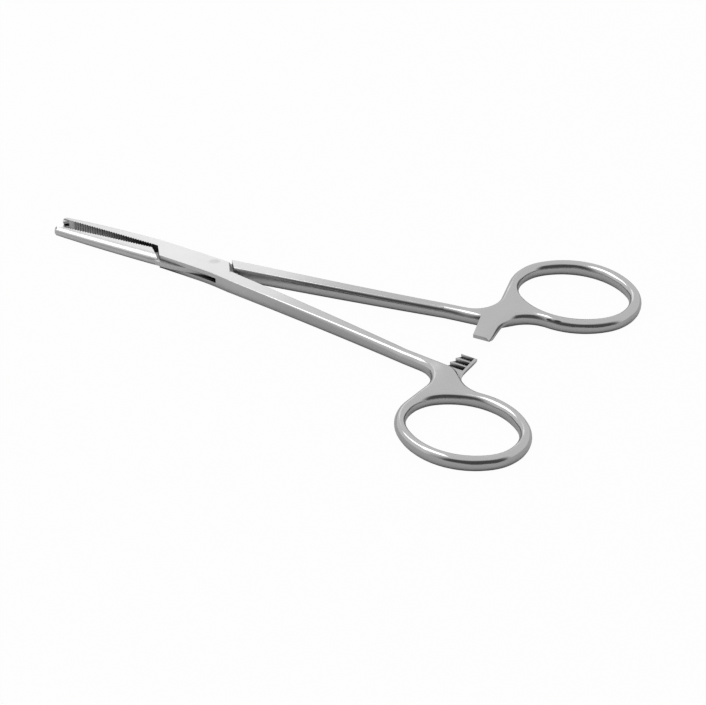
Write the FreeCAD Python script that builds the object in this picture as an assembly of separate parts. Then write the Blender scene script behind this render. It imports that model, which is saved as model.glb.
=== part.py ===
"""Straight hemostat forceps with a box lock, 140 mm long: two forged halves and the pin that joins them."""

import math
import os

import FreeCAD
import Part

# Sizes in millimetres, angles in degrees. The pin's axis is x = 0, y = 0; the jaws point to -X, the finger
# rings to +X, and the underside of the lock is z = 0. Both halves are drawn shut, then turned open.

# Whole instrument
thickness = 3.6            # box lock, shanks, hubs and rings are ground to one thickness
half_opening = 2.65        # each half stands this far from the shut pose
edge_round = 1.25          # rounding of hubs, rings and outer shanks

# Jaws
jaw_root = 11.5            # pin to the root of the jaws
tip_reach = 37.4           # pin to the tip
tip_thickness = 2.5
tip_round = 1.10
nose = 0.40                # the very tip is eased by this much
bite_offset = 0.76         # the bite line passes this far from the pin's axis
bite_lean = 2.09           # and leans this far from the centre line
bite_gap = 0.05            # air between the shut jaws
box_jaw_half = (2.75, 0.80)        # centre line to the jaw's back, at the root and at the tip
plain_jaw_half = (3.05, 1.92)
plain_jaw_drop = 0.20              # the plain jaw's faces stand this far below the box's
plain_jaw_round = 0.95
jaw_taper = [(0.0, 0.0), (0.33, 0.23), (0.64, 0.59), (1.0, 1.0)]   # way to the tip and share of the taper

# Serrations of the bite
tooth_pitch = 0.68
tooth_count = 33
tooth_depth = 0.32
first_tooth = 12.0         # pin to the first groove

# Mouse teeth at the tip: one on the plain jaw, two on the box jaw
fang_height = 0.80
fang_length = 1.50
fang_width = 0.60
fang_pair_width = 0.62
fang_clearance = 0.08

# Box lock
lock_half_width = 2.96
lock_swell = (5.3, 3.14)   # the box's side swings out here towards the shank
lock_round = 0.20
slot_height = 1.30
slot_exit = (14.0, 1.0)    # where the slot's wall would meet the shank
wall_corner = (7.5, -3.40)
wall_root = (11.0, -0.40)
front_cheek = (8.3, 10.8)  # pin to the corner and to the root of the cheek's front edge
rear_cheek = 8.05          # pin to the corner of its rear edge
cheek_root_inset = 1.7     # start of the shank back to the root of the rear edge
cheek_bevel = 0.40
shoulder_gap = 0.27        # cheek edges to shoulders in the shut pose
waist_clearance = 0.04     # each side of the waist, up and down
waist_side = [(-9.4, -3.05), (-2.0, -2.95), (3.0, -2.50), (7.5, -1.70), (11.4, 0.65)]

# Pin
pin_diameter = 2.6
pin_clearance = 0.04       # radial, in the waist's bore

# Shanks
shank_start = (12.0, 2.10)
shank_bow = 0.28           # the shank sags this far below the straight line between its ends
shank_lead = 5.0           # direction it sets off in
shank_lean = 4.9           # direction it ends in
shank_root_width = 3.24
shank_width = 3.0

# Finger rings
ring_reach = 87.15         # pin to the middle of the ring, along the centre line
ring_spread = 25.8         # centre line to the middle of the ring
ring_hole = (26.8, 20.7)   # long way and short way
ring_end_radius = 8.6      # of the hole's two ends
ring_rim = 2.95
ring_shift = 0.15          # the outer oval sits this much farther out than the hole

# Hubs
hub_reach = 25.15          # middle of the ring back to the end of the shank
hub_depth = 18.18          # and from the middle of the ring in towards the centre line
back_turn = 8.0            # the hub's back edge leaves the ring this far past its outermost point
back_round = 6.4
front_turn = 6.0           # its front edge leaves the ring this far before its innermost point
front_slope = 42.7
front_round = 5.0
toe_reach = 12.9           # end of the shank to the hub's toe
toe_droop = 0.24

# Ratchet
bar_reach = 14.45          # middle of the ring back to the bar's lock side, at the bar's end
bar_width = 4.2
bar_lean = (10.0, 1.5)     # lean of the lock side and of the ring side
bar_root_depth = 2.7       # the bars' roots lie this deep in the hub
lower_bar_end = 0.0        # the bars pass the centre line this far when shut
upper_bar_end = 0.75
bar_fillet = 3.0           # from the ring side into the hub
ratchet_pitch = 2.02
ratchet_count = 3
ratchet_depth = 0.80
ratchet_land = 0.12        # flat crest of a tooth
ratchet_margin = 0.75      # plain strip beside the teeth
ratchet_gap = 0.06         # between facing crests

shank_end = (ring_reach - hub_reach, ring_spread - hub_depth)
bar_start = ring_reach - bar_reach
middle = thickness / 2
lean = math.tan(math.radians(bite_lean))
beyond = 2 * thickness     # how far cutters reach past what they cut


def vec(x, y, z=0.0):
    return FreeCAD.Vector(x, y, z)


def heading(degrees):
    return vec(math.cos(math.radians(degrees)), math.sin(math.radians(degrees)))


def meet(p, along_p, q, along_q):
    """Point where the line through p crosses the line through q."""
    gap = q - p
    step = (gap.x * along_q.y - gap.y * along_q.x) / (along_p.x * along_q.y - along_p.y * along_q.x)
    return p + along_p * step


def bite(x):
    """Height of the bite line at x."""
    return bite_offset + x * lean


def turned(points):
    """The same points half a turn about the pin."""
    return [(-x, -y) for x, y in points]


def lines(points):
    """Straight edges through the given points."""
    points = [vec(*p) for p in points]
    return [Part.makeLine(a, b) for a, b in zip(points, points[1:])]


def arc(centre, start, stop):
    """Arc of less than half a turn about a centre."""
    outward = (start + stop - centre * 2).normalize()
    return Part.Arc(start, centre + outward * centre.distanceToPoint(start), stop).toShape()


def rounded_path(points, radii):
    """Edges along a path with an arc at each inner corner; radius 0 starts the arc at the point before."""
    edges, last = [], points[0]
    for before, corner, after, radius in zip(points, points[1:], points[2:], radii):
        a, b = (before - corner).normalize(), (after - corner).normalize()
        half = a.getAngle(b) / 2
        radius = radius or corner.distanceToPoint(last) * math.tan(half)
        reach = radius / math.tan(half)
        start, stop = corner + a * reach, corner + b * reach
        if last.distanceToPoint(start) > 1e-6:
            edges.append(Part.makeLine(last, start))
        deepest = corner + (a + b).normalize() * (radius / math.sin(half) - radius)
        edges.append(Part.Arc(start, deepest, stop).toShape())
        last = stop
    return edges + [Part.makeLine(last, points[-1])]


def plate(outline, low=0.0, high=thickness):
    """Upright block over a closed outline."""
    face = Part.Face(Part.Wire(Part.__sortEdges__(outline)))
    face.translate(vec(0, 0, low))
    return face.extrude(vec(0, 0, high - low))


def prism(points, low, high):
    """Upright block over a polygon."""
    return plate(lines(points + points[:1]), low, high)


def eased(block, radius, outline):
    """Round the rims above and below the given edges. Each rim becomes three narrow bevels along one arc."""
    middles = [edge.CenterOfMass for edge in outline]

    def level(edge):
        return edge.BoundBox.ZLength < 1e-6

    def on_outline(edge):
        m = edge.CenterOfMass
        return any(math.hypot(m.x - c.x, m.y - c.y) < 1e-4 for c in middles)

    def slanting(face):
        u0, u1, v0, v1 = face.ParameterRange
        return abs(abs(face.normalAt((u0 + u1) / 2, (v0 + v1) / 2).z) - math.sqrt(0.5)) < 1e-3

    rims = [e for e in block.Edges if level(e) and on_outline(e)]
    block = block.makeChamfer(radius * (2 - math.sqrt(2)), rims)
    rims = {e.hashCode(): e for face in block.Faces if slanting(face) for e in face.Edges if level(e)}
    step = math.tan(math.radians(22.5)) - math.tan(math.radians(11.25))
    return block.makeChamfer(radius * step, list(rims.values()))


def corner(y, z, radius, side_y, side_z):
    """Points of one rounded corner of a cross-section, from its side to its top or bottom."""
    far = radius / math.cos(math.radians(11.25))
    turns = [heading(11.25 + 22.5 * i) * far for i in range(4)]
    return [(y + side_y * (turn.x - radius), z + side_z * (turn.y - radius)) for turn in turns]


def shank_lines():
    """Outer and inner corner of the upper shank's first section, and the direction it sets off in."""
    along = heading(shank_lead)
    across = vec(-along.y, along.x) * (shank_root_width / 2)
    return vec(*shank_start) + across, vec(*shank_start) - across, along


def shank():
    """Tapered shank of the upper handle; its corners grow rounder towards the ring."""
    sections = []
    for way in (0.0, 0.1, 0.24, 0.42, 0.62, 0.82, 1.0):
        settled = 1 - (1 - way) ** 2
        (x0, y0), (x1, y1) = shank_start, shank_end
        place = vec(x0 + (x1 - x0) * way, y0 + (y1 - y0) * way - shank_bow * 4 * way * (1 - way), middle)
        slope = math.degrees(math.atan2(y1 - y0 - shank_bow * 4 * (1 - 2 * way), x1 - x0))
        along = heading({0.0: shank_lead, 1.0: shank_lean}.get(way, slope))
        half = (shank_root_width + (shank_width - shank_root_width) * settled) / 2
        radius = lock_round + (edge_round - lock_round) * settled
        points = []
        for side_y, side_z in ((1, 1), (-1, 1), (-1, -1), (1, -1)):
            run = corner(side_y * half, side_z * middle, radius, side_y, side_z)
            points += run[::side_y * side_z]
        ring = [place + vec(-along.y, along.x) * u + vec(0, 0, v) for u, v in points]
        sections.append(Part.makePolygon(ring + ring[:1]))
    return Part.makeLoft(sections, True, True)


def oval(centre, long_half, short_half, end_radius):
    """Oval of four tangent arcs, with the middles of its left end arc and lower side arc."""
    x = long_half - end_radius
    side_radius = (x ** 2 + short_half ** 2 - end_radius ** 2) / (2 * (short_half - end_radius))
    y = side_radius - short_half
    tip = heading(math.degrees(math.atan2(y, x))) * end_radius + vec(x, 0)
    corners = [tip, vec(-tip.x, tip.y), vec(-tip.x, -tip.y), vec(tip.x, -tip.y)]
    peaks = [vec(0, short_half), vec(-long_half, 0), vec(0, -short_half), vec(long_half, 0)]
    arcs = [[corners[i], peaks[i], corners[(i + 1) % 4]] for i in range(4)]
    return [[centre + p for p in arc] for arc in arcs], centre - vec(x, 0), centre + vec(0, y)


def hub_toe():
    """Toe of the upper hub, where its front edge turns away from the shank's line."""
    along = heading(shank_lean)
    across = vec(-along.y, along.x)
    return vec(*shank_end) + along * toe_reach - across * (shank_width / 2 + toe_droop)


def ring_and_hub():
    """Finger ring of the upper handle with the hub that joins it to the shank."""
    along = heading(shank_lean)
    across = vec(-along.y, along.x)
    back_start = vec(*shank_end) + across * (shank_width / 2)
    front_start = vec(*shank_end) - across * (shank_width / 2)

    centre = vec(ring_reach, ring_spread)
    long_half, short_half = ring_hole[0] / 2, ring_hole[1] / 2
    hole = [Part.Arc(*arc).toShape() for arc in oval(centre, long_half, short_half, ring_end_radius)[0]]
    outer, end_middle, side_middle = oval(centre + vec(ring_shift, 0), long_half + ring_rim - ring_shift,
                                          short_half + ring_rim, ring_end_radius + ring_rim - ring_shift)
    top, left, bottom, right = outer

    back_stop = end_middle + heading(180 + back_turn) * end_middle.distanceToPoint(left[1])
    back_corner = meet(back_start, along, back_stop, heading(270 + back_turn))
    front_stop = side_middle + heading(270 - front_turn) * side_middle.distanceToPoint(bottom[1])
    front_corner = meet(hub_toe(), heading(front_slope), front_stop, heading(180 - front_turn))

    back = rounded_path([back_start, back_corner, back_stop], [back_round])
    front = rounded_path([front_stop, front_corner, hub_toe(), front_start], [0, front_round])
    rim = [arc(side_middle, front_stop, bottom[2]), Part.Arc(*right).toShape(), Part.Arc(*top).toShape(),
           arc(end_middle, left[0], back_stop)]
    outline = back + front + rim
    butt = Part.makeLine(front_start, back_start)
    plan = Part.Face(Part.Wire(Part.__sortEdges__(outline + [butt]))).cut(Part.Face(Part.Wire(hole)))
    return eased(plan.extrude(vec(0, 0, thickness)), edge_round, outline + hole)


def ratchet_bar(end, led_in):
    """Bar of the lower handle with its teeth facing up, shut; `led_in` puts a ramp before the first crest."""
    crest = middle - ratchet_gap / 2
    root = crest - ratchet_depth
    lock_slope, ring_slope = [math.tan(math.radians(angle)) for angle in bar_lean]

    lock_end, ring_end = vec(bar_start, end), vec(bar_start + bar_width, end)
    toe, front = hub_toe(), heading(-front_slope)
    bar_root = toe.y + bar_root_depth
    bend = meet(ring_end, vec(ring_slope, 1), vec(toe.x, -toe.y), front)
    ring_side = rounded_path([ring_end, bend, bend + front * bar_fillet], [bar_fillet])
    lock_foot = lock_end - vec(lock_slope, 1) * bar_root
    rest = lines([bend + front * bar_fillet, lock_foot, lock_end, ring_end])
    bar = eased(plate(ring_side + rest), edge_round, ring_side)
    bar = bar.cut(Part.makeBox(200, 200, thickness, vec(0, -100, crest)))

    def cross_cutter(points):
        """Cutter right across the bar, from the given side view up past the crests."""
        points = points + [(points[-1][0], beyond), (points[0][0], beyond)]
        loop = [vec(bar_start - beyond, y, z) for y, z in points]
        return Part.Face(Part.makePolygon(loop + loop[:1])).extrude(vec(bar_width + 2 * beyond, 0, 0))

    first = end
    if led_in:
        first = end - ratchet_pitch
        bar = bar.cut(cross_cutter([(end + beyond, root), (end, root), (first, crest)]))
    edge, foot, aside = ring_end - vec(ratchet_margin, 0), vec(ring_slope, 1) * bar_root, vec(2 * beyond, 0)
    toothed = prism([edge, edge - foot, edge - foot - aside, edge - aside], 0, beyond)
    for i in range(ratchet_count):
        y = first - i * ratchet_pitch
        drop = y - ratchet_land
        groove = cross_cutter([(drop, crest), (drop, root), (y - ratchet_pitch, crest)])
        bar = bar.cut(groove.common(toothed))
    return bar


def jaw(half, root_drop, root_round, side):
    """Tapered jaw with a rounded back; `side` is +1 for the jaw above the bite line and -1 below it."""
    tip_drop = (thickness - tip_thickness) / 2
    stations = []
    for way, share in jaw_taper:
        reach = jaw_root + (tip_reach - nose - jaw_root) * way
        out, drop = half[0] + (half[1] - half[0]) * share, root_drop + (tip_drop - root_drop) * share
        stations.append((reach, out, drop, root_round + (tip_round - root_round) * way))
    stations.append((tip_reach, half[1] - nose, tip_drop + nose / 2, tip_round - nose))
    sections = []
    for reach, out, drop, radius in stations:
        flat = bite(-reach) + side * (bite_gap - tooth_depth) / 2
        points = [(flat, drop), (flat, thickness - drop)]
        points += corner(side * out, thickness - drop, radius, side, 1)[::-1]
        points += corner(side * out, drop, radius, side, -1)
        ring = [vec(-reach, y, z) for y, z in points[::side]]
        sections.append(Part.makePolygon(ring + ring[:1]))
    return Part.makeLoft(sections, True, True)


def bite_cutter(side):
    """Everything beyond the saw-toothed bite face of one jaw. Both faces follow one wave, so they nest."""
    waves = [(-jaw_root, 0.0), (-first_tooth, 0.0)]
    for i in range(tooth_count):
        x = -(first_tooth + i * tooth_pitch)
        waves += [(x - 0.25 * tooth_pitch, tooth_depth / 2), (x - 0.75 * tooth_pitch, -tooth_depth / 2)]
    waves += [(-(first_tooth + tooth_count * tooth_pitch), 0.0), (-tip_reach - beyond, 0.0)]
    points = [(x, bite(x) + side * bite_gap / 2 + lift) for x, lift in waves]
    points += [(-tip_reach - beyond, -side * beyond), (-jaw_root, -side * beyond)]
    return prism(points, -beyond, thickness + beyond)


def fang(grow, side):
    """Outline of a mouse tooth at the tip, standing across the bite line towards `side`."""
    front = -tip_reach + nose / 2 - grow
    back = front + fang_length + 2 * grow
    top = side * (fang_height + grow)
    foot = -side * fang_height / 3
    low, high = bite(front), bite(back)
    return [(front, low + foot), (front, low + top * 0.7), (front + 0.2, low + top),
            (front + 0.45 + grow, low + top), (back, high - side * 0.1), (back, high + foot)]


def mouse_teeth(body, box_side):
    """Tip teeth: the box jaw carries two with a socket between, the plain jaw one with a socket each side."""
    inner = fang_width / 2 + fang_clearance
    outer = inner + fang_pair_width
    if box_side:
        body = body.cut(prism(fang(fang_clearance, 1), middle - inner, middle + inner))
        upper = prism(fang(0, -1), middle + inner, middle + outer)
        return body.fuse([upper, prism(fang(0, -1), middle - outer, middle - inner)])
    notch = inner - fang_clearance / 2
    body = body.cut(prism(fang(fang_clearance, -1), middle + notch, beyond))
    body = body.cut(prism(fang(fang_clearance, -1), -beyond, middle - notch))
    return body.fuse(prism(fang(0, 1), middle - fang_width / 2, middle + fang_width / 2))


def open_pose(shape, degrees):
    shape.rotate(vec(0, 0), vec(0, 0, 1), degrees)
    return shape


def one_solid(shape):
    shape = shape.removeSplitter()
    return max(shape.Solids, key=lambda solid: solid.Volume)


def cheek_edges():
    """Root and corner of the cheek's front edge, turned to the rear, and of its rear edge."""
    _, inner, along = shank_lines()
    root = meet(inner, along, vec(shank_start[0] - cheek_root_inset, 0), vec(0, 1))
    face = bite(-jaw_root) + bite_gap / 2
    return ((vec(front_cheek[1], -face), vec(front_cheek[0], lock_half_width)),
            (vec(root.x, -root.y), vec(rear_cheek, lock_half_width)))


def box_half():
    """The half with the box: upper jaw, cheeks, and the lower handle."""
    outer, inner, _ = shank_lines()
    outer, inner = vec(outer.x, -outer.y), vec(inner.x, -inner.y)
    (front_root, front_corner), (rear_root, rear_corner) = cheek_edges()
    jaw_foot = (-jaw_root, -front_root.y)
    side = rounded_path([-front_corner, vec(lock_swell[0], -lock_half_width), outer], [10 * lock_swell[0]])
    crotch = lines([inner, rear_root])
    back = lines([rear_corner, (0.0, lock_half_width), (-jaw_root, box_jaw_half[0])])
    rest = lines([(-jaw_root, box_jaw_half[0]), jaw_foot, -front_root, -front_corner])
    rest += lines([outer, inner]) + lines([rear_root, rear_corner])
    block = eased(plate(side + crotch + back + rest), lock_round, side + crotch + back)
    slant = (rear_corner - rear_root).normalize()
    b = cheek_bevel
    wedge = [(b, 0), (0, -b), (-beyond, -b), (-beyond, beyond), (b, beyond)]
    for level, up in ((0, -1), (thickness, 1)):
        loop = [rear_root + vec(-slant.y, slant.x) * u + vec(0, 0, level + up * v) for u, v in wedge]
        block = block.cut(Part.Face(Part.makePolygon(loop + loop[:1])).extrude(slant * beyond))
    slot = [(-slot_exit[0], -beyond), (wall_corner[0], -beyond), wall_corner, wall_root, slot_exit]
    block = block.cut(prism(slot + turned(slot), middle - slot_height / 2, middle + slot_height / 2))
    upper_jaw = jaw(box_jaw_half, 0.0, lock_round, 1).cut(bite_cutter(1))
    body = mouse_teeth(block.fuse(upper_jaw), True)
    handle = shank().fuse(ring_and_hub()).mirror(vec(0, 0), vec(0, 1, 0))
    body = body.fuse(handle).fuse(ratchet_bar(lower_bar_end, False))
    return one_solid(body.cut(Part.makeCylinder(pin_diameter / 2, thickness)))


def plain_half():
    """The half that passes through the box: lower jaw, waist, and the upper handle."""
    outer, inner, along = shank_lines()
    front_edge, rear_edge = cheek_edges()

    def on_shoulder(cheek_edge, point, direction):
        """Where a line meets the shoulder, which runs along a cheek edge at the shoulder gap."""
        root, tip = cheek_edge
        slant = (tip - root).normalize()
        return meet(point, direction, root + vec(slant.y, -slant.x) * shoulder_gap, slant)

    face = bite(-jaw_root) - bite_gap / 2
    near = -on_shoulder(front_edge, vec(0, plain_jaw_half[0]), vec(1, 0))
    far = -on_shoulder(front_edge, vec(0, -face), vec(1, 0))
    back = lines([(-jaw_root, -plain_jaw_half[0]), near])
    front = back + lines([near, far, (-jaw_root, face), (-jaw_root, -plain_jaw_half[0])])
    front = eased(plate(front, plain_jaw_drop, thickness - plain_jaw_drop), plain_jaw_round, back)

    above, below = on_shoulder(rear_edge, outer, along), on_shoulder(rear_edge, inner, along)
    sides = lines([above, outer]) + lines([inner, below])
    rear = eased(plate(sides + lines([outer, inner]) + lines([below, above])), lock_round, sides)

    low, high = middle - slot_height / 2 + waist_clearance, middle + slot_height / 2 - waist_clearance
    bow = Part.BSplineCurve()
    bow.interpolate([vec(x, y) for x, y in waist_side])
    other = Part.BSplineCurve()
    other.interpolate([vec(x, y) for x, y in turned(waist_side)])
    ends = lines([waist_side[-1], turned(waist_side)[0]]) + lines([turned(waist_side)[-1], waist_side[0]])
    waist = plate([bow.toShape(), other.toShape()] + ends, low, high)

    lower_jaw = jaw(plain_jaw_half, plain_jaw_drop, plain_jaw_round, -1).cut(bite_cutter(-1))
    body = mouse_teeth(lower_jaw, False).fuse(front).fuse(waist).fuse(rear)
    bar = ratchet_bar(upper_bar_end, True)
    bar.rotate(vec(0, 0, middle), vec(1, 0, 0), 180)
    body = body.fuse(shank().fuse(ring_and_hub())).fuse(bar)
    return one_solid(body.cut(Part.makeCylinder(pin_diameter / 2 + pin_clearance, thickness)))


def pivot_pin():
    """Rivet pin, set in both cheeks and ground flush."""
    return Part.makeCylinder(pin_diameter / 2, thickness)


os.makedirs("parts", exist_ok=True)
open_pose(box_half(), -half_opening).exportStep("parts/box_half.step")
open_pose(plain_half(), half_opening).exportStep("parts/plain_half.step")
pivot_pin().exportStep("parts/pivot_pin.step")
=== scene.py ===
import contextlib
import math

import bmesh
import bpy
from mathutils import Matrix, Vector


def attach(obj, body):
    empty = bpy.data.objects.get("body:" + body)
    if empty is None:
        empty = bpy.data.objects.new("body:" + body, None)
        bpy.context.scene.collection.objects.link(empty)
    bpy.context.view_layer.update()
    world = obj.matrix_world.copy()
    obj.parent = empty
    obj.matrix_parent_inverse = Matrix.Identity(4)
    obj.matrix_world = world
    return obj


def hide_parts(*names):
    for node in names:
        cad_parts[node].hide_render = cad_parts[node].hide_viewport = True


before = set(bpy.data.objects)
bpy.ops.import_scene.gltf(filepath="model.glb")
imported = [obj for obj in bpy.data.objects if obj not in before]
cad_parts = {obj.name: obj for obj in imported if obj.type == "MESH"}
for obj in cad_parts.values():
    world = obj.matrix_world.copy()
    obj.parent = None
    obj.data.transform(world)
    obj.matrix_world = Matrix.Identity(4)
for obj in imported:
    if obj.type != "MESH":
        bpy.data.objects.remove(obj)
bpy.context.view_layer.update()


# Box half: one steel forging, from the upper jaw through the box with its slot to the lower finger ring.
# Its flats are ground to a satin and its rounds polished; the teeth of its ratchet bar face up. It is drawn
# in millimetres with the forceps shut and the pin's axis at the origin, then turned open.

thickness, half_opening = 3.6, 2.65
deep, past = 12.0, 1.0      # how far cutters reach past what they cut, and where a neighbour is near


class Wire:
    """A node's output that can be used in ordinary maths; each operator adds one Math node."""

    def __init__(self, tree, socket):
        self.tree, self.socket = tree, socket

    @classmethod
    def node(cls, tree, kind, settings, inputs, output=0):
        """Add a node, make its settings, and set or link its inputs; returns the chosen output."""
        made = tree.nodes.new(kind)
        for name, value in settings.items():
            setattr(made, name, value)
        for name, value in inputs.items():
            if isinstance(value, cls):
                tree.links.new(value.socket, made.inputs[name])
            else:
                made.inputs[name].default_value = value
        return cls(tree, made.outputs[output])

    def _math(self, operation, *values):
        return Wire.node(self.tree, "ShaderNodeMath", {"operation": operation}, dict(enumerate(values)))

    def __add__(self, other):
        return self._math("ADD", self, other)

    def __radd__(self, other):
        return self._math("ADD", other, self)

    def __sub__(self, other):
        return self._math("SUBTRACT", self, other)

    def __rsub__(self, other):
        return self._math("SUBTRACT", other, self)

    def __mul__(self, other):
        return self._math("MULTIPLY", self, other)

    def __rmul__(self, other):
        return self._math("MULTIPLY", other, self)

    def step(self, low, high):
        """0 below `low`, 1 above `high`, and a smooth rise between."""
        return Wire.node(self.tree, "ShaderNodeMapRange", {"interpolation_type": "SMOOTHSTEP"},
                         {"Value": self, "From Min": low, "From Max": high})


def heading(degrees):
    """The direction at an angle, seen from above."""
    return Vector((math.cos(math.radians(degrees)), math.sin(math.radians(degrees)), 0.0))


def left_of(direction):
    """The direction a quarter turn to the left."""
    return Vector((-direction.y, direction.x, 0))


def meet(p, along_p, q, along_q):
    """Point where the line through p crosses the line through q."""
    gap = q - p
    far = gap.x * along_q.y - gap.y * along_q.x
    return p + along_p * (far / (along_p.x * along_q.y - along_p.y * along_q.x))


arc_step, circle_steps = 3, 60


def arc(centre, start, stop):
    """Points of the shorter arc from start to stop about a centre, without the start."""
    a, b = start - centre, stop - centre
    sweep = math.atan2(a.x * b.y - a.y * b.x, a.dot(b))
    steps = math.ceil(abs(sweep) / math.radians(arc_step))
    return [centre + Matrix.Rotation(sweep * i / steps, 3, "Z") @ a for i in range(1, steps + 1)]


def rounded_path(points, radii):
    """Points of a path with an arc at each inner corner; radius 0 starts the arc at the point before."""
    path = [points[0]]
    for before, corner, after, radius in zip(points, points[1:], points[2:], radii):
        a, b = (before - corner).normalized(), (after - corner).normalized()
        half = a.angle(b) / 2
        radius = radius or (corner - path[-1]).length * math.tan(half)
        start, stop = corner + a * (radius / math.tan(half)), corner + b * (radius / math.tan(half))
        if (path[-1] - start).length > 1e-3:
            path.append(start)
        path += arc(corner + (a + b).normalized() * (radius / math.sin(half)), start, stop)
    return path + [points[-1]]


def oval(centre, long_half, short_half, end_radius):
    """Middles of the right, upper, left and lower arc of an oval, and the point where each arc starts."""
    x = long_half - end_radius
    side_radius = (x ** 2 + short_half ** 2 - end_radius ** 2) / (2 * (short_half - end_radius))
    y = side_radius - short_half
    middles = [centre + Vector(place) for place in ((x, 0, 0), (0, -y, 0), (-x, 0, 0), (0, y, 0))]
    tip = heading(math.degrees(math.atan2(y, x))) * end_radius + Vector((x, 0, 0))
    starts = [centre + Vector((tip.x * u, tip.y * v, 0)) for u, v in ((1, -1), (1, 1), (-1, 1), (-1, -1))]
    return middles, starts


height_digits = 4           # heights are rounded, so that faces that are meant to be level are


def placed(name, data):
    """New object in the scene with the given mesh, curve, lamp or lens."""
    made = bpy.data.objects.new(name, data)
    bpy.context.scene.collection.objects.link(made)
    return made


@contextlib.contextmanager
def edited(mesh):
    """The mesh as a bmesh, which is written back afterwards."""
    shape = bmesh.new()
    shape.from_mesh(mesh)
    yield shape
    shape.to_mesh(mesh)
    shape.free()


def loft(name, sections):
    """Closed solid through sections that have the same number of points, with its faces turned outwards."""
    n, last = len(sections[0]), len(sections) - 1
    points = [(p[0], p[1], round(p[2], height_digits)) for section in sections for p in section]
    faces = [list(range(n)), list(range(last * n, (last + 1) * n))]
    for k in range(last):
        a, b = k * n, (k + 1) * n
        faces += [[a + i, a + (i + 1) % n, b + (i + 1) % n, b + i] for i in range(n)]
    mesh = bpy.data.meshes.new(name)
    mesh.from_pydata(points, [], faces)
    with edited(mesh) as shape:
        bmesh.ops.recalc_face_normals(shape, faces=shape.faces)
    return placed(name, mesh)


def prism(name, outline, low, high):
    """Upright block over a polygon."""
    return loft(name, [[(p[0], p[1], z) for p in outline] for z in (low, high)])


def evaluated(rough):
    """Plain mesh of an object with its modifiers applied; the object itself goes."""
    bpy.context.view_layer.update()
    mesh = bpy.data.meshes.new_from_object(rough.evaluated_get(bpy.context.evaluated_depsgraph_get()))
    bpy.data.objects.remove(rough)
    return mesh


def combined(base, operation, others):
    """The base with other solids joined to it, or cut away from it; the others go."""
    name = base.name
    for other in others:
        step = base.modifiers.new("step", "BOOLEAN")
        step.operation, step.solver, step.object = operation, "EXACT", other
    mesh = evaluated(base)
    for other in others:
        bpy.data.objects.remove(other)
    return placed(name, mesh)


def corner(y, z, reach, drop, side_y, side_z):
    """Seven points of an elliptic corner of a section, from its side to its top or bottom."""
    turns = [math.radians(15 * i) for i in range(7)]
    return [(y + side_y * reach * (math.cos(t) - 1), z + side_z * drop * (math.sin(t) - 1)) for t in turns]


shank_start, shank_end, shank_bow = (12.0, 2.10), (62.0, 7.62), 0.28
shank_lead, shank_lean = 5.0, 4.9           # its direction at the box and at the hub
shank_root_width, shank_width = 3.24, 3.0
shank_steps, first_section, last_section = 30, 0.03, 0.15
crisp = 0.06                                # edge rounding at the box
round_reach, round_drop = 1.30, 1.80        # and at the ring, across and down
rounding_growth = 1.1
hair = 0.02                                 # keeps faces apart that would otherwise lie in one plane


def shank(name, start_back, tucked, inner):
    """Upper shank, crisp beside the box, or rounded by `inner` on its inner side, and rounder towards the
    ring. Its ends run on into what they join, and `tucked` makes the first of them thinner."""
    (x0, y0), (x1, y1) = shank_start, shank_end
    # Each station has its way along, how far it is run on from there, and how much thinner it is.
    stations = [(0.0, -start_back, tucked), (0.0, first_section, 0.0)]
    stations += [(i / shank_steps, 0.0, 0.0) for i in range(1, shank_steps)]
    stations += [(1.0, -last_section, 0.0), (1.0, 1.0, hair)]
    sections = []
    for t, on, thinner in stations:
        slope = math.degrees(math.atan2(y1 - y0 - shank_bow * 4 * (1 - 2 * t), x1 - x0))
        along = heading({0.0: shank_lead, 1.0: shank_lean}.get(t, slope))
        place = Vector((x0 + (x1 - x0) * t, y0 + (y1 - y0) * t - shank_bow * 4 * t * (1 - t), thickness / 2))
        half = (shank_root_width + (shank_width - shank_root_width) * (1 - (1 - t) ** 2)) / 2 - thinner
        points = []
        for side_y, side_z in ((1, 1), (-1, 1), (-1, -1), (1, -1)):
            reach, drop = (crisp, crisp) if side_y > 0 else inner
            reach += (round_reach - reach) * t ** rounding_growth
            drop += (round_drop - drop) * t ** rounding_growth - thinner
            drop -= 1e-3    # so that the upper and the lower corner never quite meet
            run = corner(side_y * half, side_z * (thickness / 2 - thinner), reach, drop, side_y, side_z)
            points += run[::side_y * side_z]
        sections.append([place + along * on + left_of(along) * u + Vector((0, 0, v)) for u, v in points])
    return loft(name, sections)


def rounded_plate(name, outlines):
    """Plate over closed outlines, with its edges rounded elliptically above and below."""
    curve = bpy.data.curves.new(name, "CURVE")
    curve.dimensions, curve.fill_mode = "2D", "BOTH"
    curve.bevel_depth, curve.bevel_resolution, curve.offset = round_reach, 5, -round_reach
    for outline in outlines:
        line = curve.splines.new("POLY")
        line.points.add(len(outline) - 1)
        for point, place in zip(line.points, outline):
            point.co = (place.x, place.y, 0, 1)
        line.use_cyclic_u = True
    mesh = evaluated(placed(name, curve))
    taller = Matrix.Diagonal((1, 1, round_drop / round_reach, 1))
    mesh.transform(Matrix.Translation((0, 0, thickness / 2)) @ taller)
    with edited(mesh) as shape:
        bmesh.ops.remove_doubles(shape, verts=shape.verts, dist=1e-4)
        bmesh.ops.recalc_face_normals(shape, faces=shape.faces)
        for vert in shape.verts:
            vert.co.z = round(vert.co.z, height_digits)
    return placed(name, mesh)


ring_centre = Vector((87.15, 25.8, 0.0))
ring_hole, ring_rim, ring_end_radius, ring_shift = (13.4, 10.35), 2.95, 8.6, 0.15
back_turn, back_round, front_turn, front_slope, front_round = 8.0, 6.4, 6.0, 42.7, 5.0
toe_reach, toe_droop = 12.9, 0.24
hub_run_back, hub_run_lean, hub_tuck = 1.4, 7.5, 0.03       # how the hub's rounded end lies in the shank


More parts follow.
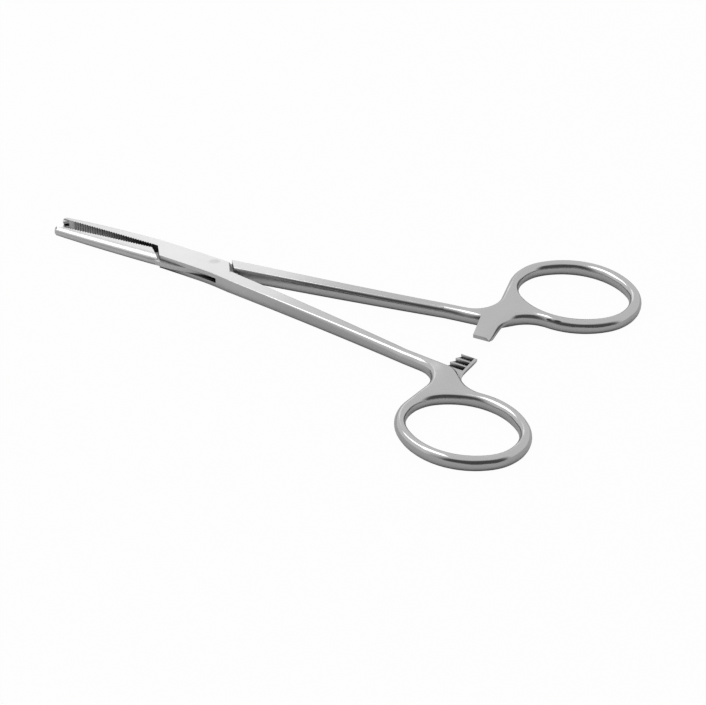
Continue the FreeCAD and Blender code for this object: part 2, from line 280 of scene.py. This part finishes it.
def hub_toe():
    """Toe of the upper hub, where its front edge turns away from the shank's line."""
    along = heading(shank_lean)
    return Vector((*shank_end, 0)) + along * toe_reach - left_of(along) * (shank_width / 2 + toe_droop)


def ring_and_hub(name):
    """Upper finger ring and the hub that joins it to the shank, as one plate with a hole."""
    along = heading(shank_lean)
    across = left_of(along)
    back_start = Vector((*shank_end, 0)) + across * (shank_width / 2)
    front_start = Vector((*shank_end, 0)) - across * (shank_width / 2)
    (right, top, left, bottom), corners = oval(ring_centre + Vector((ring_shift, 0, 0)),
                                               ring_hole[0] + ring_rim - ring_shift, ring_hole[1] + ring_rim,
                                               ring_end_radius + ring_rim - ring_shift)
    back_stop = left + heading(180 + back_turn) * (corners[2] - left).length
    back_corner = meet(back_start, along, back_stop, heading(270 + back_turn))
    front_stop = bottom + heading(270 - front_turn) * (corners[3] - bottom).length
    front_corner = meet(hub_toe(), heading(front_slope), front_stop, heading(180 - front_turn))
    outline = rounded_path([back_start, back_corner, back_stop], [back_round])
    outline += arc(left, back_stop, corners[2]) + arc(top, corners[2], corners[1])
    outline += arc(right, corners[1], corners[0]) + arc(bottom, corners[0], front_stop)
    outline += rounded_path([front_stop, front_corner, hub_toe(), front_start], [0, front_round])[1:]
    buried, tuck = heading(hub_run_lean) * hub_run_back, across * hub_tuck
    outline += [front_start - buried + tuck, back_start - buried - tuck]
    middles, corners = oval(ring_centre, *ring_hole, ring_end_radius)
    hole = []
    for middle, start, stop in zip(middles, corners, corners[1:] + corners[:1]):
        hole += arc(middle, start, stop)
    return rounded_plate(name, [outline, hole])


def tooth_row(name, cutter, count, step):
    """Cutters of a row of teeth: the given one, repeated at even steps."""
    tree = bpy.data.node_groups.new("tooth_row", "GeometryNodeTree")
    tree.interface.new_socket("Geometry", in_out="INPUT", socket_type="NodeSocketGeometry")
    tree.interface.new_socket("Teeth", in_out="INPUT", socket_type="NodeSocketInt")
    tree.interface.new_socket("Step", in_out="INPUT", socket_type="NodeSocketVector")
    tree.interface.new_socket("Material", in_out="INPUT", socket_type="NodeSocketMaterial")
    tree.interface.new_socket("Geometry", in_out="OUTPUT", socket_type="NodeSocketGeometry")
    given = tree.nodes.new("NodeGroupInput")
    tooth, teeth, offset, metal = [Wire(tree, given.outputs[i]) for i in range(4)]
    line = Wire.node(tree, "GeometryNodeMeshLine", {"mode": "OFFSET"}, {"Count": teeth, "Offset": offset})
    row = Wire.node(tree, "GeometryNodeInstanceOnPoints", {}, {"Points": line, "Instance": tooth})
    real = Wire.node(tree, "GeometryNodeRealizeInstances", {}, {"Geometry": row})
    dressed = Wire.node(tree, "GeometryNodeSetMaterial", {}, {"Geometry": real, "Material": metal})
    result = tree.nodes.new("NodeGroupOutput")
    tree.links.new(dressed.socket, result.inputs[0])
    repeat = cutter.modifiers.new(name, "NODES")
    repeat.node_group = tree
    for label, value in (("Teeth", count), ("Step", step), ("Material", steel)):
        repeat[tree.interface.items_tree[label].identifier] = value
    return placed(name, evaluated(cutter))


bar_start, bar_width, bar_lean, bar_depth, bar_fillet = 72.7, 4.2, (10.0, 1.5), 2.7, 7.0
ratchet_pitch, ratchet_count, ratchet_depth, ratchet_land = 2.02, 3, 0.80, 0.12
ratchet_margin, ratchet_gap = 0.75, 0.06
bar_lift = 0.004            # its under face lies this much above the ring's, so that they aren't level
spare = 5.0                 # how far its cutters reach past the bar


def ratchet_bar(name, end, led_in):
    """Bar of the lower handle, shut, with its teeth up; `led_in` puts a ramp before the first crest."""
    crest = thickness / 2 - ratchet_gap / 2
    root = crest - ratchet_depth
    lock_edge, ring_edge = [Vector((math.tan(math.radians(angle)), 1, 0)) for angle in bar_lean]
    lock_end, ring_end = Vector((bar_start, end, 0)), Vector((bar_start + bar_width, end, 0))
    toe, front = hub_toe(), heading(-front_slope)
    foot = lock_end - lock_edge * (toe.y + bar_depth)
    bend = meet(ring_end, ring_edge, Vector((toe.x, -toe.y, 0)), front)
    # A plate that is wider than the bar gives the rounded ring side and its fillet; the rest is cut away.
    past_end = ring_end + ring_edge * 4
    wide = rounded_path([past_end, bend, bend + front * 6], [bar_fillet])
    wide += [wide[-1] + Vector((-12, -4, 0)), past_end - Vector((14, 0, 0))]
    inside, aside = bend + front * 4.5, Vector((spare, 0, 0))
    kept = [lock_end, ring_end + aside, bend + aside, inside + Vector((1, 0, 0)), inside - Vector((1, 1, 0)),
            foot]
    bar = combined(rounded_plate(name, [wide]), "INTERSECT", [prism(name + "_kept", kept, bar_lift, crest)])

    def cross_cutter(label, side_view, left, right):
        """Cutter across the bar from left to right, with the given side view."""
        return loft(label, [[(x, y, z) for y, z in side_view] for x in (left, right)])

    cutters, first, left = [], end, bar_start - spare
    if led_in:
        first = end - ratchet_pitch
        ramp = [(end + past, root), (end, root), (first, crest), (first, crest + past),
                (end + past, crest + past)]
        cutters.append(cross_cutter("ramp", ramp, left, bar_start + bar_width + spare))
    drop, rise = first - ratchet_land, first - ratchet_pitch + 0.001    # the notches don't quite touch
    notch = [(drop, crest + past), (drop, root), (rise, crest), (rise, crest + past)]
    notch = cross_cutter("notch", notch, left, bar_start + bar_width - ratchet_margin)
    cutters.append(tooth_row(name + "_teeth", notch, ratchet_count, (0.0, -ratchet_pitch, 0.0)))
    return combined(bar, "DIFFERENCE", cutters)


jaw_root, tip_reach, tip_thickness, nose = 11.5, 37.4, 2.5, 0.40
bite_offset, bite_lean, bite_gap = 0.76, math.tan(math.radians(2.09)), 0.05
tooth_pitch, tooth_count, tooth_depth, first_tooth = 0.68, 33, 0.32, 12.0
tip_drop = (thickness - tip_thickness) / 2
jaw_run_on, jaw_tuck = 0.5, 0.05        # how far the upper jaw's root lies in the box, and behind its face
jaw_steps, early_taper, late_taper = 12, 0.64, 2.6      # the taper is stronger towards the tip


def bite(x):
    """Height of the bite line at x."""
    return bite_offset + x * bite_lean


def jaw(name, side, backs, drop, rounds, run_on):
    """Jaw with a rounded back, from its root to its tip: how far out the back lies at both, how far its
    faces drop at the root, its rounding (across, down) at root, tip and nose, and what it runs on into."""
    crest = side * (bite_gap - tooth_depth) / 2
    (back, tip_back), (root_round, tip_round, nose_round) = backs, rounds
    stations = [(reach, back, drop, *root_round, flat)
                for reach, flat in run_on + [(jaw_root, bite(-jaw_root) + crest)]]
    for i in range(1, jaw_steps + 1):
        way = i / jaw_steps
        share = early_taper * way + (1 - early_taper) * way ** late_taper
        reach = jaw_root + (tip_reach - nose - jaw_root) * way
        rounding = [a + (b - a) * way for a, b in zip(root_round, tip_round)]
        stations.append((reach, back + (tip_back - back) * share, drop + (tip_drop - drop) * share, *rounding,
                         bite(-reach) + crest))
    stations.append((tip_reach, tip_back - nose, tip_drop + nose / 2, *nose_round, bite(-tip_reach) + crest))
    sections = []
    for reach, out, low, across, down, flat in stations:
        points = [(flat, low), (flat, thickness - low)]
        points += corner(side * out, thickness - low, across, down, side, 1)[::-1]
        points += corner(side * out, low, across, down, side, -1)
        sections.append([(-reach, y, z) for y, z in points])
    return loft(name, sections)


def bite_teeth(name, side):
    """Cutters that serrate one bite face: a row of notches, and a block at each end that makes it plain."""
    crest = side * (bite_gap - tooth_depth) / 2
    nest = tooth_pitch / 4      # the two rows nest in each other
    start = -first_tooth - (nest if side > 0 else 3 * nest)
    half = tooth_pitch * 0.49
    notch = [(start - half, -hair), (start + half, -hair), (start, tooth_depth)]
    notch = prism("notch", [(x, bite(start) + crest + side * y) for x, y in notch], -deep, deep)
    row = tooth_row(name + "_row", notch, tooth_count, (-tooth_pitch, -tooth_pitch * bite_lean, 0.0))
    first, last = -first_tooth, -first_tooth - tooth_count * tooth_pitch
    if side > 0:
        last += nest
    else:
        first -= nest
    ends = []
    for left, right in ((first, jaw_run_on - jaw_root), (-tip_reach - past, last)):
        faces = [(left, bite(left) + side * bite_gap / 2), (right, bite(right) + side * bite_gap / 2)]
        ends.append(prism("plain_end", faces + [(right, -side * deep), (left, -side * deep)], -deep, deep))
    return [row] + ends


fang_height, fang_length, fang_width, fang_pair_width, fang_clearance = 0.80, 1.50, 0.60, 0.62, 0.08


def fang(grow, side):
    """Outline of a mouse tooth at the tip, standing across the bite line towards `side`."""
    front = -tip_reach + nose / 2 - grow
    back = front + fang_length + 2 * grow
    top, foot = side * (fang_height + grow), -side * fang_height / 3
    low, high = bite(front), bite(back)
    return [(front, low + foot), (front, low + top * 0.7), (front + 0.2, low + top),
            (front + 0.45 + grow, low + top), (back, high - side * 0.1), (back, high + foot)]


def patch(tree, place, centre, reach, turn):
    """1 inside a small oval mark at a place on the steel (mm), 0 around it."""
    put = Wire.node(tree, "ShaderNodeMapping", {"vector_type": "TEXTURE"},
                    {"Vector": place, "Location": Vector(centre) / 1000, "Scale": Vector(reach) / 1000,
                     "Rotation": (0, 0, math.radians(turn))})
    distance = Wire.node(tree, "ShaderNodeVectorMath", {"operation": "LENGTH"}, {0: put}, "Value")
    return 1 - distance.step(0.55, 1.0)


# Each mark has its middle and its half sizes in millimetres, and how far it is turned.
pit_marks = ((85.5, 16.85, 3.0), (0.9, 0.4, 0.3), 5), ((87.6, 17.05, 3.15), (1.2, 0.35, 0.3), 8)
smudge_mark = (4.6, 1.2, 3.6), (1.7, 1.1, 1.0), 30
handle_grey, working_grey = 0.50, 0.62
polished_roughness, satin_roughness = 0.16, 0.36
painted_shade_reach = 0.002        # painted shade: the base colour is darkened in grooves and overlaps narrower than this, in metres
wave_height, grain_height = 0.0014, 0.00003


def forged_steel(name):
    """Stainless steel: jaws, box and flats ground to a satin, the rounds of the handles polished brighter. Its
    base colour also carries painted shade in grooves, creases and narrow gaps between parts.
    """
    material = bpy.data.materials.new(name)
    material.use_nodes = True
    tree = material.node_tree
    shader = tree.nodes["Principled BSDF"]
    place = Wire.node(tree, "ShaderNodeTexCoord", {}, {}, "Object")
    facing = Wire.node(tree, "ShaderNodeTexCoord", {}, {}, "Normal")
    along = Wire.node(tree, "ShaderNodeSeparateXYZ", {}, {0: place}, "X")
    up = Wire.node(tree, "ShaderNodeSeparateXYZ", {}, {0: facing}, "Z")
    flat = Wire.node(tree, "ShaderNodeMath", {"operation": "ABSOLUTE"}, {0: up}).step(0.93, 0.995)
    working_end = 1 - along.step(0.012, 0.035)
    satin = Wire.node(tree, "ShaderNodeMath", {"operation": "MAXIMUM"}, {0: flat * 0.75, 1: working_end})
    grain = Wire.node(tree, "ShaderNodeTexNoise", {}, {"Vector": place, "Scale": 2600.0, "Detail": 3.0})
    cloud = Wire.node(tree, "ShaderNodeTexNoise", {}, {"Vector": place, "Scale": 160.0, "Detail": 4.0})
    wave = Wire.node(tree, "ShaderNodeTexNoise", {}, {"Vector": place, "Scale": 95.0, "Detail": 1.0})
    upper_pit, lower_pit, smudge = [patch(tree, place, *mark) for mark in (*pit_marks, smudge_mark)]
    pits = upper_pit + lower_pit
    rough = polished_roughness + satin * (satin_roughness - polished_roughness)
    rough = rough + (cloud - 0.5) * 0.10 + pits * 0.3 + smudge * 0.08
    tree.links.new(rough.socket, shader.inputs["Roughness"])
    # Painted shade: an ambient occlusion mask darkens the base colour where grooves, creases and nearby parts
    # close a surface in.
    free_of_painted_shade = Wire.node(tree, "ShaderNodeAmbientOcclusion", {"samples": 6, "only_local": False},
                            {"Distance": painted_shade_reach}, "AO").step(0.2, 0.95)
    grey = handle_grey + working_end * (working_grey - handle_grey)
    # The base colour: its grey, darkened by painted shade in recesses, by the pits and by the smudge.
    grey_marks_and_painted_shade = grey * (0.12 + free_of_painted_shade * 0.88) * (1 - pits * 0.85) * (1 - smudge * 0.06)
    colour = Wire.node(tree, "ShaderNodeCombineColor", {}, {"Red": grey_marks_and_painted_shade, "Green": grey_marks_and_painted_shade, "Blue": grey_marks_and_painted_shade})
    tree.links.new(colour.socket, shader.inputs["Base Color"])
    on_rings = wave * along.step(0.058, 0.075)
    worked = Wire.node(tree, "ShaderNodeBump", {},
                       {"Strength": 1.0, "Distance": wave_height, "Height": on_rings})
    bump = Wire.node(tree, "ShaderNodeBump", {},
                     {"Strength": 0.12, "Distance": grain_height, "Height": grain, "Normal": worked})
    tree.links.new(bump.socket, shader.inputs["Normal"])
    shader.inputs["Metallic"].default_value = 1.0
    return material


steel = forged_steel("forged_steel")


broken_edge, broken_angle, smooth_angle, flat_weight = 0.05, 35, 30, 80


def finished(rough, part, body, opening):
    """Turn a drawn half open, break its edges, and give it to the body that it rides with."""
    name = rough.name
    with edited(rough.data) as shape:
        weight = shape.edges.layers.float.new("bevel_weight_edge")
        for edge in shape.edges:
            middle = (edge.verts[0].co + edge.verts[1].co) / 2
            serrated = middle.x < -first_tooth and abs(middle.y - bite(middle.x)) < tooth_depth
            if edge.calc_face_angle(0) > math.radians(broken_angle) and not serrated:
                edge[weight] = 1.0
    broken = rough.modifiers.new("broken edges", "BEVEL")
    broken.width, broken.segments, broken.limit_method = broken_edge, 2, "WEIGHT"
    mesh = evaluated(rough)
    mesh.transform(Matrix.Scale(0.001, 4) @ Matrix.Rotation(math.radians(opening), 4, "Z"))
    mesh.shade_smooth()
    mesh.set_sharp_from_angle(angle=math.radians(smooth_angle))
    rough = placed(name, mesh)
    weighted = rough.modifiers.new("true flats", "WEIGHTED_NORMAL")
    weighted.keep_sharp, weighted.weight = True, flat_weight
    mesh = evaluated(rough)
    mesh.materials.clear()
    mesh.materials.append(steel)
    piece = placed(name, mesh)
    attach(piece, body)
    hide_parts(part)


def mirrored(upper):
    """A piece of the upper handle turned into the lower one."""
    upper.data.transform(Matrix.Diagonal((1, -1, 1, 1)))
    upper.data.flip_normals()
    return upper


lock_half_width, swell_start, swell_radius = 2.96, 5.3, 53.0
front_cheek, rear_cheek, cheek_root = (8.3, 10.8), 8.05, 10.3
cheek_bevel, cheek_length = 0.40, 8
slot_height, wall = 1.30, [(14.0, 1.0), (11.0, -0.40), (7.5, -3.40), (7.5, -deep), (-14.0, -deep)]
pin_radius = 1.3
box_back, box_tip_back = 2.75, 0.80

start, lead = Vector((shank_start[0], -shank_start[1], 0)), heading(-shank_lead)
across = left_of(lead) * (shank_root_width / 2)
inner, outer = start + across, start - across
root = meet(inner, lead, Vector((cheek_root, 0, 0)), Vector((0, 1, 0)))
cheek = Vector((rear_cheek, lock_half_width, 0))
face = bite(-jaw_root) + bite_gap / 2
front_corner = Vector((-front_cheek[0], -lock_half_width, 0))
outline = rounded_path([front_corner, Vector((swell_start, -lock_half_width, 0)), outer], [swell_radius])
outline += [inner, root, cheek, (0.0, lock_half_width), (-jaw_root, box_back), (-jaw_root, face),
            (-front_cheek[1], face)]
slot_low, slot_top = (thickness - slot_height) / 2, (thickness + slot_height) / 2
cutters = [prism("slot", wall + [(-x, -y) for x, y in wall], slot_low, slot_top)]
slant = (cheek - root).normalized()
inward = left_of(slant)
side_view = [(cheek_bevel, 0), (0, -cheek_bevel), (-past, -cheek_bevel), (-past, past), (cheek_bevel, past)]
for level, up in ((0, -1), (thickness, 1)):
    wedge = [root + inward * u + Vector((0, 0, level + up * v)) for u, v in side_view]
    cutters.append(loft("cheek_bevel", [wedge, [p + slant * cheek_length for p in wedge]]))
circle = [heading(360 / circle_steps * i) for i in range(circle_steps)]
cutters.append(prism("pin_hole", [p * pin_radius for p in circle], -past, thickness + past))
box = combined(prism("box_half_steel", outline, 0.0, thickness), "DIFFERENCE", cutters)

upper_jaw = jaw("upper_jaw", 1, backs=(box_back, box_tip_back), drop=0.0,
                rounds=((crisp, crisp), (1.0, 1.1), (0.6, 0.8)),
                run_on=[(jaw_root - jaw_run_on, face + jaw_tuck)])
upper_jaw = combined(upper_jaw, "DIFFERENCE", bite_teeth("upper_bite", 1))
beside = fang_width / 2 + fang_clearance
socket = prism("socket", fang(fang_clearance, 1), thickness / 2 - beside, thickness / 2 + beside)
upper_jaw = combined(upper_jaw, "DIFFERENCE", [socket])
fangs = [prism("fang", fang(0, -1), thickness / 2 + low, thickness / 2 + high)
         for low, high in ((beside, beside + fang_pair_width), (-beside - fang_pair_width, -beside))]
box = combined(box, "UNION", [combined(upper_jaw, "UNION", fangs),
                              mirrored(shank("lower_shank", start_back=1.0, tucked=hair, inner=(crisp, crisp))),
                              mirrored(ring_and_hub("lower_ring")),
                              ratchet_bar("lower_bar", end=0.0, led_in=False)])
finished(box, "box_half", "box_side", -half_opening)


# Plain half: the other forging, of the same steel and finish. Its thin waist passes through the slot of the
# box, where the pin holds it, and the teeth of its ratchet bar face down.

plain_back, plain_tip_back, plain_drop = 3.05, 1.92, 0.20
shoulder_gap, waist_clearance, bore = 0.27, 0.04, 1.34
waist_side = [(-9.4, -3.05), (-2.0, -2.95), (3.0, -2.50), (7.5, -1.70), (11.4, 0.65)]
waist_steps = 40
inner_round = 0.5, 1.5      # the shank's inner edge is soft beside the box
jaw_hidden, shank_hidden = 7.0, 6.0     # where the jaw starts and how far the shank runs on, before the cut
shoulder_root = Vector((cheek_root, -0.33, 0))
bar_end = 0.75              # how far its ratchet bar reaches past the other's end


def waist_edge(x):
    """The waist's lower edge, a smooth line through its given points."""
    total = 0.0
    for xi, yi in waist_side:
        term = yi
        for xj, _ in waist_side:
            if xj != xi:
                term *= (x - xj) / (xi - xj)
        total += term
    return total


def behind(solid, root, tip):
    """Cut away what a solid has on the pin's side of the shoulder that runs along a cheek edge."""
    outward = left_of((tip - root).normalized())
    outward *= math.copysign(1, outward.x * root.x)
    with edited(solid.data) as shape:
        parts = shape.verts[:] + shape.edges[:] + shape.faces[:]
        cut = bmesh.ops.bisect_plane(shape, geom=parts, plane_co=root + outward * shoulder_gap,
                                     plane_no=-outward, clear_outer=True)
        rim = [part for part in cut["geom_cut"] if isinstance(part, bmesh.types.BMEdge)]
        bmesh.ops.holes_fill(shape, edges=rim)
        bmesh.ops.recalc_face_normals(shape, faces=shape.faces)
    return solid


face = bite(-jaw_root) - bite_gap / 2
lower_jaw = jaw("lower_jaw", -1, backs=(plain_back, plain_tip_back), drop=plain_drop,
                rounds=((1.9, 1.55), (1.4, 1.2), (1.0, 0.95)),
                run_on=[(jaw_hidden, face), (jaw_root - 0.001, face)])
lower_jaw = behind(lower_jaw, Vector((-front_cheek[1], -bite(-jaw_root), 0)), front_corner)
lower_jaw = combined(lower_jaw, "DIFFERENCE", bite_teeth("lower_bite", -1))
notch = beside - fang_clearance / 2
sockets = [prism("socket", fang(fang_clearance, -1), thickness / 2 + low, thickness / 2 + high)
           for low, high in ((notch, deep), (-deep, -notch))]
lower_jaw = combined(lower_jaw, "DIFFERENCE", sockets)
lower_fang = prism("fang", fang(0, 1), thickness / 2 - fang_width / 2, thickness / 2 + fang_width / 2)

xs = [waist_side[0][0] + (waist_side[-1][0] - waist_side[0][0]) * i / waist_steps
      for i in range(waist_steps + 1)]
edge = [(x, waist_edge(x)) for x in xs]
waist = prism("plain_half_steel", edge + [(-x, -y) for x, y in edge], slot_low + waist_clearance,
              slot_top - waist_clearance)

upper_shank = behind(shank("upper_shank", shank_hidden, tucked=0.0, inner=inner_round), shoulder_root, cheek)
bar = ratchet_bar("upper_bar", bar_end, led_in=True)
bar.data.transform(Matrix.Translation((0, 0, thickness / 2)) @ Matrix.Rotation(math.pi, 4, "X")
                   @ Matrix.Translation((0, 0, -thickness / 2)))
plain = combined(waist, "UNION", [combined(lower_jaw, "UNION", [lower_fang]), upper_shank,
                                  ring_and_hub("upper_ring"), bar])
pin_bore = prism("bore", [p * bore for p in circle], -past, thickness + past)
finished(combined(plain, "DIFFERENCE", [pin_bore]), "plain_half", "plain_side", half_opening)


# Pivot pin: a round steel rivet, set in both cheeks and through the waist. Its ends are ground flush with
# the cheeks and polished over, so that it hardly shows. It keeps its mesh from the drawing.
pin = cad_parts["pivot_pin"]
pin.data.materials.clear()
pin.data.materials.append(steel)


# Floor: the studio's table, matt white paper without a seam. It is overexposed as in the photo, and keeps
# only a faint shadow under the instrument.
floor_half, paper_grey = 3.0, 0.58
seen_glow, mirrored_glow = 0.97, 0.1        # how much of it the eye and the steel see as plain white

corners = [(-floor_half, -floor_half, 0), (floor_half, -floor_half, 0), (floor_half, floor_half, 0),
           (-floor_half, floor_half, 0)]
mesh = bpy.data.meshes.new("floor")
mesh.from_pydata(corners, [], [(0, 1, 2, 3)])
floor = placed("floor", mesh)
paper = bpy.data.materials.new("white_table")
paper.use_nodes = True
tree = paper.node_tree
table = tree.nodes["Principled BSDF"]
table.inputs["Base Color"].default_value = (paper_grey, paper_grey, paper_grey, 1)
table.inputs["Roughness"].default_value = 0.9
table.inputs["Specular IOR Level"].default_value = 0.0
by_eye = Wire.node(tree, "ShaderNodeLightPath", {}, {}, "Is Camera Ray")
by_metal = Wire.node(tree, "ShaderNodeLightPath", {}, {}, "Is Glossy Ray")
glow = Wire.node(tree, "ShaderNodeEmission", {}, {"Color": (1, 1, 1, 1), "Strength": 1.0})
both = Wire.node(tree, "ShaderNodeMixShader", {},
                 {0: by_eye * seen_glow + by_metal * mirrored_glow, 1: Wire(tree, table.outputs[0]), 2: glow})
tree.links.new(both.socket, tree.nodes["Material Output"].inputs["Surface"])
floor.data.materials.append(paper)


# Studio: a white room that is dark on the camera's side, up to near its top. A soft square lamp hangs at
# the upper left, and a small round panel stands behind at the left for the band on the near shank.
view_turn, view_height = math.radians(27.5094), math.radians(35.5034)
room_light, dark_share = 0.92, 0.82

world = bpy.data.worlds.new("studio")
bpy.context.scene.world = world
world.use_nodes = True
tree = world.node_tree
direction = Wire.node(tree, "ShaderNodeTexCoord", {}, {}, "Generated")
toward = (math.sin(view_turn), -math.cos(view_turn), 0.0)
near = Wire.node(tree, "ShaderNodeVectorMath", {"operation": "DOT_PRODUCT"}, {0: direction, 1: toward},
                 "Value")
height = Wire.node(tree, "ShaderNodeSeparateXYZ", {}, {0: direction}, "Z")
dark = near.step(0.30, 0.75) * (1 - height.step(0.65, 0.90))
level = room_light - dark * dark_share
background = tree.nodes["Background"]
background.inputs["Color"].default_value = (1, 1, 1, 1)
tree.links.new(level.socket, background.inputs["Strength"])


def area_lamp(name, shape, size, energy, place, towards):
    """Area lamp at a place, shining along a direction."""
    lamp = bpy.data.lights.new(name, "AREA")
    lamp.shape, lamp.energy = shape, energy
    lamp.size = lamp.size_y = size
    made = placed(name, lamp)
    made.location = place
    made.rotation_euler = Vector(towards).to_track_quat("-Z", "Y").to_euler()
    return made


area_lamp("overhead", "RECTANGLE", size=0.45, energy=1.5, place=(-0.38, -0.14, 0.66),
          towards=(0.42, 0.12, -0.66))
panel = area_lamp("panel", "DISK", size=0.09, energy=0.015, place=(-0.100, 0.159, 0.128),
                  towards=(0.083, -0.159, -0.128))
panel.visible_camera = False


# Camera: the photograph's own viewing angle, through a long lens. Its target is the middle of the picture,
# and its distance makes the instrument as large as in the photo.
target, distance = Vector((0.0500725, -0.0145409, 0.0018)), 0.927875

back = Vector((math.sin(view_turn) * math.cos(view_height), -math.cos(view_turn) * math.cos(view_height),
               math.sin(view_height)))
lens = bpy.data.cameras.new("camera")
lens.sensor_fit, lens.sensor_width, lens.lens = "HORIZONTAL", 36.0, 203.97
lens.clip_start, lens.clip_end = 0.01, 20.0
camera = placed("camera", lens)
camera.location = target + back * distance
camera.rotation_euler = (math.pi / 2 - view_height, 0, view_turn)
bpy.context.scene.camera = camera
bpy.context.scene.view_settings.view_transform = "Standard"
